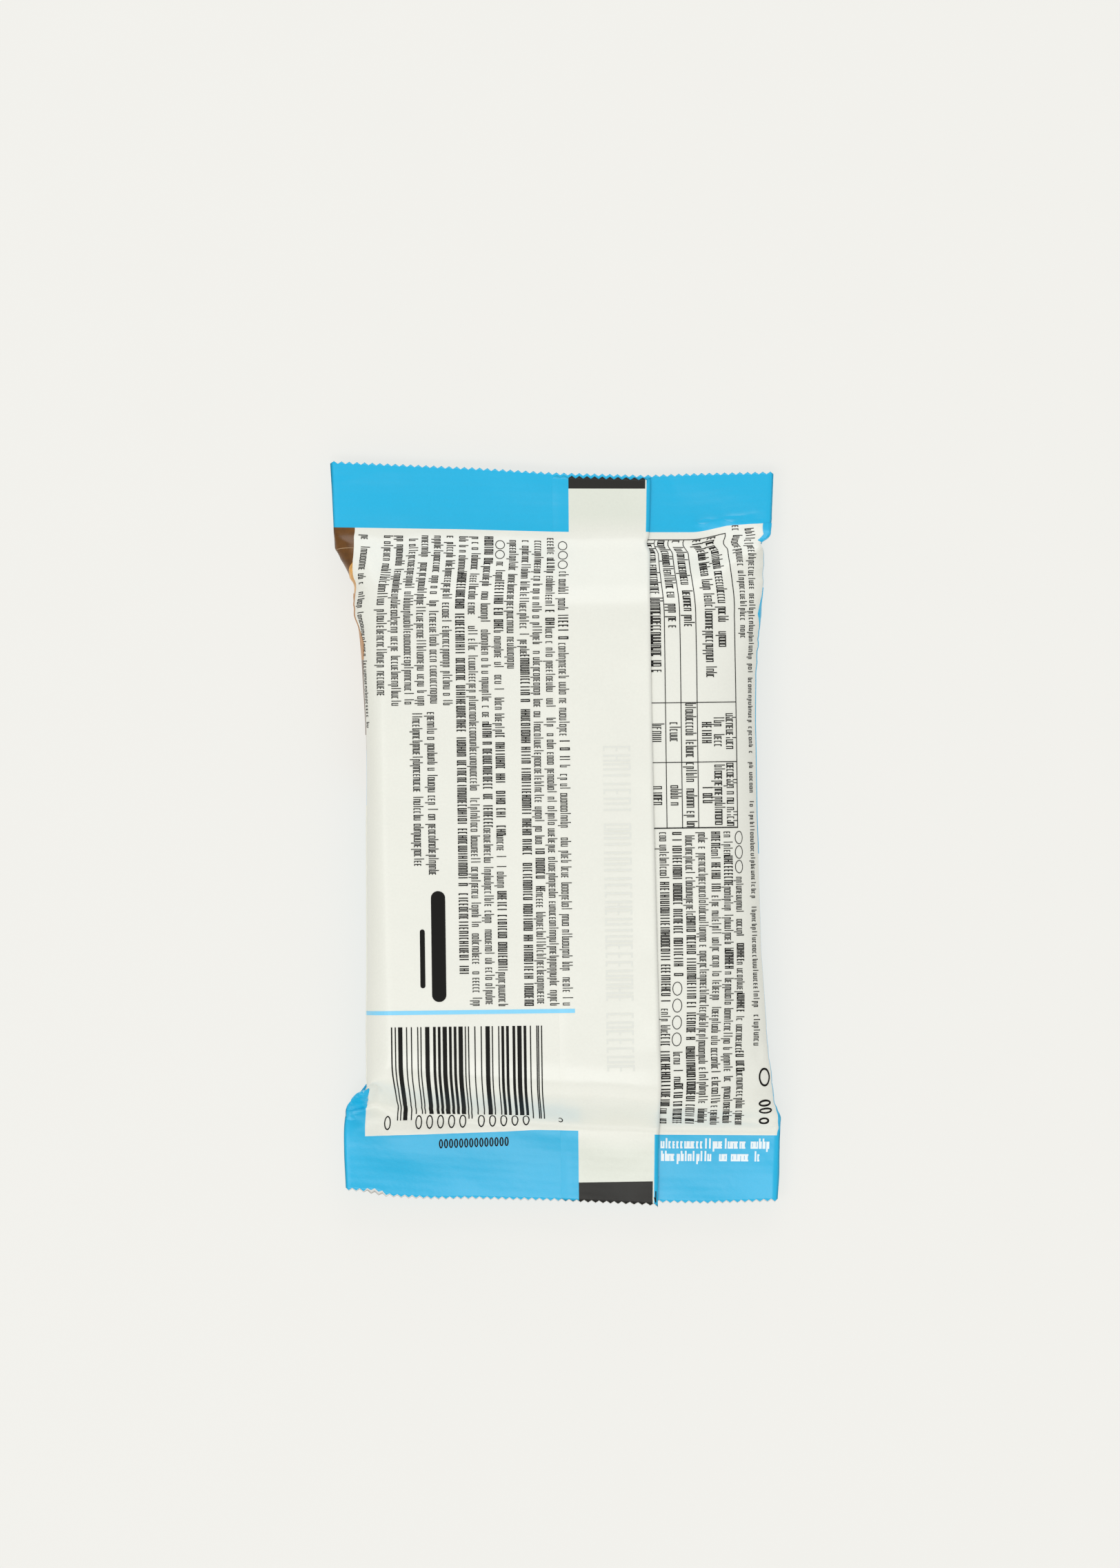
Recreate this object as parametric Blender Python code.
"""A shut energy bar in its flow wrapper, lying on its front with the back seam up.

Metres, +Z up, origin under the middle of the bounding box.  X runs across the
wrapper, Y along it.  All sizes below are in millimetres.

The wrapper is one film tube, pressed flat and cut to a zigzag at both ends.  Its
film does not stretch, so every cross-section has the same length of film: where the
bar fills the tube it is narrow and tall, and where the ends are sealed it is wide and
flat.  A point of the film is named by `across`, its distance from the middle seam
along the film, and by its place along the wrapper.
"""

import math

import bmesh
import bpy
import numpy as np

MM = 0.001

# The film tube, laid flat.
TOOTH_PITCH = 1.2655
TOOTH_COUNT = 58
HALF_WIDTH = TOOTH_COUNT * TOOTH_PITCH / 2
TOOTH_DEPTH = 0.43
SEAM_X = 0.3

# The fin: the tube's long seam, folded flat towards +X.
FIN_WIDTH = 16.2
FIN_STEP = 0.3
FIN_EDGE_RUN = 0.1

# Heights above the surface that the wrapper lies on.
BAR_THICKNESS = 14.2
SEAL_THICKNESS = 0.4
SEAL_HEIGHT = 4.6
SEAL_DROOP = 0.05

# How the film climbs from a seal to the bar: distance from the seal's inner line, height.
TOP_CLIMB = [(0.0, SEAL_HEIGHT), (1.5, 5.5), (6.0, 9.4), (9.0, 12.1), (11.5, 13.7), (14.5, BAR_THICKNESS)]
BOTTOM_CLIMB = [(0.0, SEAL_HEIGHT), (0.8, 5.3), (3.2, 10.4), (5.0, 12.9), (7.0, 13.9), (10.0, BAR_THICKNESS)]
# How the front of the wrapper drops under the ends: distance from the same line, height.
UNDERSIDE_DROP = [(0.0, SEAL_HEIGHT - SEAL_THICKNESS), (1.0, 3.8), (4.0, 1.5), (6.0, 0.5), (8.5, 0.0)]
DROP_REACH = UNDERSIDE_DROP[-1][0] + 0.5

# The inner lines of the two seals and the two cuts, as (x, y).
TOP_LINE = [(-36.5, 50.2), (-15.0, 49.7), (3.0, 49.0), (24.0, 48.8), (30.0, 49.8), (36.5, 50.0)]
BOTTOM_LINE = [(-36.0, -44.9), (-30.0, -45.4), (-17.0, -46.9), (0.0, -48.3), (16.0, -49.2), (36.0, -49.7)]
TOP_CUT = [(-36.5, 61.9), (-12.4, 60.5), (0.7, 59.5), (15.7, 58.9), (24.0, 59.1), (36.7, 59.2)]
BOTTOM_CUT = [(-35.5, -58.4), (-33.0, -58.5), (-28.3, -59.5), (-15.0, -60.1), (3.0, -60.8), (25.0, -61.4), (36.0, -61.2)]

# The wrapper's two long edges as seen from above, as (y, x).
LEFT_EDGE = [
    (-58.5, -35.5), (-48.5, -35.65), (-45.0, -35.3), (-43.2, -33.8), (-41.6, -31.8), (-25.0, -31.5),
    (1.0, -31.2), (19.0, -31.1), (30.0, -31.7), (36.8, -32.8), (41.5, -32.9), (44.0, -34.1),
    (47.8, -35.95), (52.0, -36.1), (61.9, -36.5),
]
RIGHT_EDGE = [
    (-61.0, 36.05), (-50.0, 36.6), (-47.4, 36.7), (-44.3, 35.7), (-35.0, 34.8), (-20.0, 33.8),
    (-6.0, 33.5), (2.0, 33.3), (18.0, 33.3), (26.0, 33.5), (36.0, 34.4), (41.0, 34.9),
    (45.9, 35.05), (47.7, 34.5), (48.6, 36.2), (52.0, 36.5), (59.2, 36.9),
]
SIDE_PROFILE_STEPS = 16
MIN_SIDE_RUN = 0.1

# Puckers and dents in the film: x, y, half-length along x, half-length along y, height.
PUCKERS = [
    (29.0, 49.0, 6.0, 1.6, 0.55),
    (24.0, 45.5, 5.0, 2.2, -0.45),
    (31.0, 39.5, 2.5, 4.5, -0.55),
    (-27.5, 44.5, 3.0, 4.0, -0.45),
    (-30.0, -43.2, 2.6, 1.8, -0.80),
    (30.5, -43.5, 3.0, 4.0, -0.55),
    (6.0, -44.0, 5.0, 2.0, -0.35),
]

# Rows of points, as shares of a seal's depth and as distances from its inner line.
SEAL_SHARES = [0.0, 0.14, 0.38, 0.62, 0.86]
TOP_STEPS = [0.0, 0.9, 1.8, 3.0, 4.5, 6.0, 7.5, 9.0, 10.5, 12.5]
BOTTOM_STEPS = [0.0, 0.7, 1.5, 2.4, 3.3, 4.3, 5.3, 6.6, 8.4]
BODY_ROWS = 10

# Where the print changes colour.
PRINT_TOP = [(-36.5, 51.1), (-15.0, 50.5), (3.0, 49.8), (24.4, 49.5), (30.0, 50.6), (36.5, 50.9)]
PRINT_BOTTOM = [(-36.0, -49.5), (-5.5, -49.1), (3.0, -49.3), (16.7, -50.0), (36.0, -50.4)]
LABEL_REACH = (-32.5, 35.3)
STRIP_REACH = (2.6, 15.3)
MARK_DEPTH = 2.6
RULE_Y = -29.35
RULE_REACH = (-31.8, 2.5)
BAND_REACH = (4.0, 52.0)
BAND_DEPTH = 16.0

FILM_COLORS = {
    "label_cream": (0.86, 0.87, 0.79),
    "field_blue": (0.04, 0.47, 0.75),
    "mark_black": (0.045, 0.045, 0.04),
    "band_brown": (0.17, 0.08, 0.028),
}


def follow(knots, at, soft=0.0):
    """Value of the line through the knots, its corners rounded over `soft` either way."""
    places = [knot[0] for knot in knots]
    values = [knot[1] for knot in knots]
    samples = [float(np.interp(at + shift, places, values)) for shift in (-soft, -soft / 2, 0.0, soft / 2, soft)]
    return sum(samples) / len(samples)


def pucker_height(x, y):
    total = 0.0
    for centre_x, centre_y, reach_x, reach_y, height in PUCKERS:
        distance = ((x - centre_x) / reach_x) ** 2 + ((y - centre_y) / reach_y) ** 2
        total += height * math.exp(-distance)
    return total


def back_height(x, y):
    """Height of the film on the side with the seam."""
    from_top = follow(TOP_LINE, x, 2.0) - y
    from_bottom = y - follow(BOTTOM_LINE, x, 2.0)
    droop = SEAL_DROOP * max(0.0, -from_top, -from_bottom)
    climb = min(follow(TOP_CLIMB, from_top, 0.8), follow(BOTTOM_CLIMB, from_bottom, 0.6))
    return climb - droop


def front_height(x, y):
    """Height of the film on the side that the wrapper lies on."""
    from_top = follow(TOP_LINE, x, 2.0) - y
    from_bottom = y - follow(BOTTOM_LINE, x, 2.0)
    inwards = min(from_top, from_bottom)
    if inwards > DROP_REACH:
        return 0.0
    droop = SEAL_DROOP * max(0.0, -inwards)
    return follow(UNDERSIDE_DROP, inwards, 0.5) - droop


def quarter_ellipse(run, rise):
    """Length of a quarter of an ellipse, by Ramanujan's formula."""
    return math.pi / 4 * (3 * (run + rise) - math.sqrt((3 * run + rise) * (run + 3 * rise)))


def side_run(reach, rise):
    """How far in from the edge the side's rounding starts, so that the film's length comes out."""
    low, high = MIN_SIDE_RUN, reach * 0.8
    for _ in range(30):
        middle = (low + high) / 2
        length = reach - middle + quarter_ellipse(middle, rise)
        if length > HALF_WIDTH:
            low = middle
        else:
            high = middle
    return low


def section_place(across, reach, rise):
    """Distance out from the seam, and share of the half-thickness, of a place on the film."""
    run = side_run(reach, rise)
    turns = np.linspace(0.0, math.pi / 2, SIDE_PROFILE_STEPS)
    outs = np.concatenate([[0.0], reach - run + run * np.sin(turns)])
    ups = np.concatenate([[1.0], np.cos(turns)])
    lengths = np.hypot(np.diff(outs), np.diff(ups) * rise)
    along = np.concatenate([[0.0], np.cumsum(lengths)])
    share = abs(across) / HALF_WIDTH * along[-1]
    return float(np.interp(share, along, outs)), float(np.interp(share, along, ups))


def film_point(across, y, is_back):
    """Place of one point of the film."""
    edge = RIGHT_EDGE if across > 0.0 else LEFT_EDGE
    reach = abs(follow(edge, y, 0.5) - SEAM_X)
    flat_x = SEAM_X + across
    top = back_height(flat_x, y)
    base = front_height(flat_x, y)
    rise = (top - base) / 2
    out, up = section_place(across, reach, rise)
    x = SEAM_X + math.copysign(out, across)
    if not is_back:
        return (x, y, base + rise * (1.0 - up))
    fin = FIN_STEP * np.interp(across, [0.0, TOOTH_PITCH, FIN_WIDTH, FIN_WIDTH + FIN_EDGE_RUN], [0, 1, 1, 0])
    return (x, y, base + rise * (1.0 + up) + up * (fin + pucker_height(x, y)))


def column_lines():
    """Places across the film, one at each valley between teeth, and two at the fin's free edge."""
    lines = [-HALF_WIDTH + index * TOOTH_PITCH for index in range(TOOTH_COUNT + 1)]
    nearest = min(range(len(lines)), key=lambda index: abs(lines[index] - FIN_WIDTH))
    lines[nearest] = FIN_WIDTH
    lines.insert(nearest + 1, FIN_WIDTH + FIN_EDGE_RUN)
    return lines


def row_places(across):
    """Places along one column, from the valley of the bottom cut to the valley of the top cut."""
    flat_x = SEAM_X + across
    bottom_line = follow(BOTTOM_LINE, flat_x, 2.0)
    top_line = follow(TOP_LINE, flat_x, 2.0)
    bottom_valley = follow(BOTTOM_CUT, flat_x, 1.0) + TOOTH_DEPTH / 2
    top_valley = follow(TOP_CUT, flat_x, 1.0) - TOOTH_DEPTH / 2
    rows = [bottom_valley + share * (bottom_line - bottom_valley) for share in SEAL_SHARES]
    rows += [bottom_line + step for step in BOTTOM_STEPS]
    body_start = bottom_line + BOTTOM_STEPS[-1]
    body_end = top_line - TOP_STEPS[-1]
    rows += [body_start + (body_end - body_start) * row / BODY_ROWS for row in range(1, BODY_ROWS)]
    rows += [top_line - step for step in reversed(TOP_STEPS)]
    rows += [top_valley + share * (top_line - top_valley) for share in reversed(SEAL_SHARES)]
    return rows


def print_color(across, y, is_back):
    """Name of the colour that the film is printed with at one place."""
    x = SEAM_X + across
    if not is_back:
        in_band = BAND_REACH[0] < y < BAND_REACH[1] and across < BAND_DEPTH - HALF_WIDTH
        return "band_brown" if in_band else "field_blue"
    past_top = y - follow(PRINT_TOP, x)
    past_bottom = follow(PRINT_BOTTOM, x) - y
    if STRIP_REACH[0] < across < STRIP_REACH[1]:
        from_cut = min(follow(TOP_CUT, x) - y, y - follow(BOTTOM_CUT, x))
        return "mark_black" if from_cut < MARK_DEPTH else "label_cream"
    if past_top > 0.0 or past_bottom > 0.0:
        return "field_blue"
    if across < LABEL_REACH[0]:
        return "band_brown" if y > BAND_REACH[0] else "field_blue"
    if across > LABEL_REACH[1]:
        return "field_blue"
    return "label_cream"


def film_material(name, color):
    material = bpy.data.materials.new(name)
    material.use_nodes = True
    shader = material.node_tree.nodes["Principled BSDF"]
    shader.inputs["Base Color"].default_value = (*color, 1.0)
    shader.inputs["Roughness"].default_value = 0.38
    shader.inputs["Metallic"].default_value = 0.0
    return material


def build_film(mesh):
    """Both faces of the tube, row by row and column by column, with its teeth and cut ends."""
    lines = column_lines()
    ring = [(across, True) for across in lines] + [(across, False) for across in reversed(lines[1:-1])]
    slots = list(FILM_COLORS)
    columns = []
    for across, is_back in ring:
        columns.append([mesh.verts.new(film_point(across, y, is_back)) for y in row_places(across)])
    count = len(ring)
    row_count = len(columns[0])

    def add_face(corners, across, y, is_back):
        face = mesh.faces.new(corners)
        face.material_index = slots.index(print_color(across, y, is_back))
        face.smooth = True

    for index in range(count):
        here, there = columns[index], columns[(index + 1) % count]
        across = (ring[index][0] + ring[(index + 1) % count][0]) / 2
        is_back = index < len(lines) - 1
        for row in range(row_count - 1):
            corners = (here[row], here[row + 1], there[row + 1], there[row])
            add_face(corners, across, (here[row].co.y + there[row + 1].co.y) / 2, is_back)

    for row, cut, outwards in ((0, BOTTOM_CUT, -1.0), (row_count - 1, TOP_CUT, 1.0)):
        for index in range(len(lines) - 1):
            add_tooth(mesh, columns, lines, index, row, cut, outwards, add_face)


def add_tooth(mesh, columns, lines, index, row, cut, outwards, add_face):
    """One tooth of a cut end: a triangle on each face of the film and the cut between them."""
    count = len(columns)
    back = (columns[index][row], columns[index + 1][row])
    front = (columns[-index % count][row], columns[count - index - 1][row])
    if lines[index + 1] - lines[index] < TOOTH_PITCH / 2:
        corners = (back[0], back[1], front[1], front[0])
        add_face(corners, lines[index], back[0].co.y, True)
        return
    middle = (lines[index] + lines[index + 1]) / 2
    tip_y = follow(cut, SEAM_X + middle, 1.0) + outwards * TOOTH_DEPTH / 2
    back_tip = mesh.verts.new(film_point(middle, tip_y, True))
    front_tip = mesh.verts.new(film_point(middle, tip_y, False))
    add_face((back[0], back_tip, back[1]), middle, tip_y, True)
    add_face((front[0], front_tip, front[1]), middle, tip_y, False)
    for back_foot, front_foot in zip(back, front):
        corners = [back_foot, back_tip, front_tip]
        if front_foot is not back_foot:
            corners.append(front_foot)
        add_face(corners, middle, tip_y, True)


def centre_on_origin(mesh):
    """Stands the box of the mesh on the origin, in metres."""
    places = np.array([vertex.co for vertex in mesh.verts])
    low, high = places.min(axis=0), places.max(axis=0)
    shift = np.array([(low[0] + high[0]) / 2, (low[1] + high[1]) / 2, low[2]])
    for vertex in mesh.verts:
        vertex.co = (np.array(vertex.co) - shift) * MM


def build_wrapper():
    """The sealed wrapper with the bar in it, as one solid."""
    mesh = bmesh.new()
    build_film(mesh)
    centre_on_origin(mesh)
    bmesh.ops.recalc_face_normals(mesh, faces=mesh.faces)
    data = bpy.data.meshes.new("wrapper")
    mesh.to_mesh(data)
    mesh.free()
    for name, color in FILM_COLORS.items():
        data.materials.append(film_material(name, color))
    wrapper = bpy.data.objects.new("wrapper", data)
    bpy.context.scene.collection.objects.link(wrapper)
    return wrapper


def main():
    for old in list(bpy.data.objects):
        bpy.data.objects.remove(old, do_unlink=True)
    build_wrapper()


main()
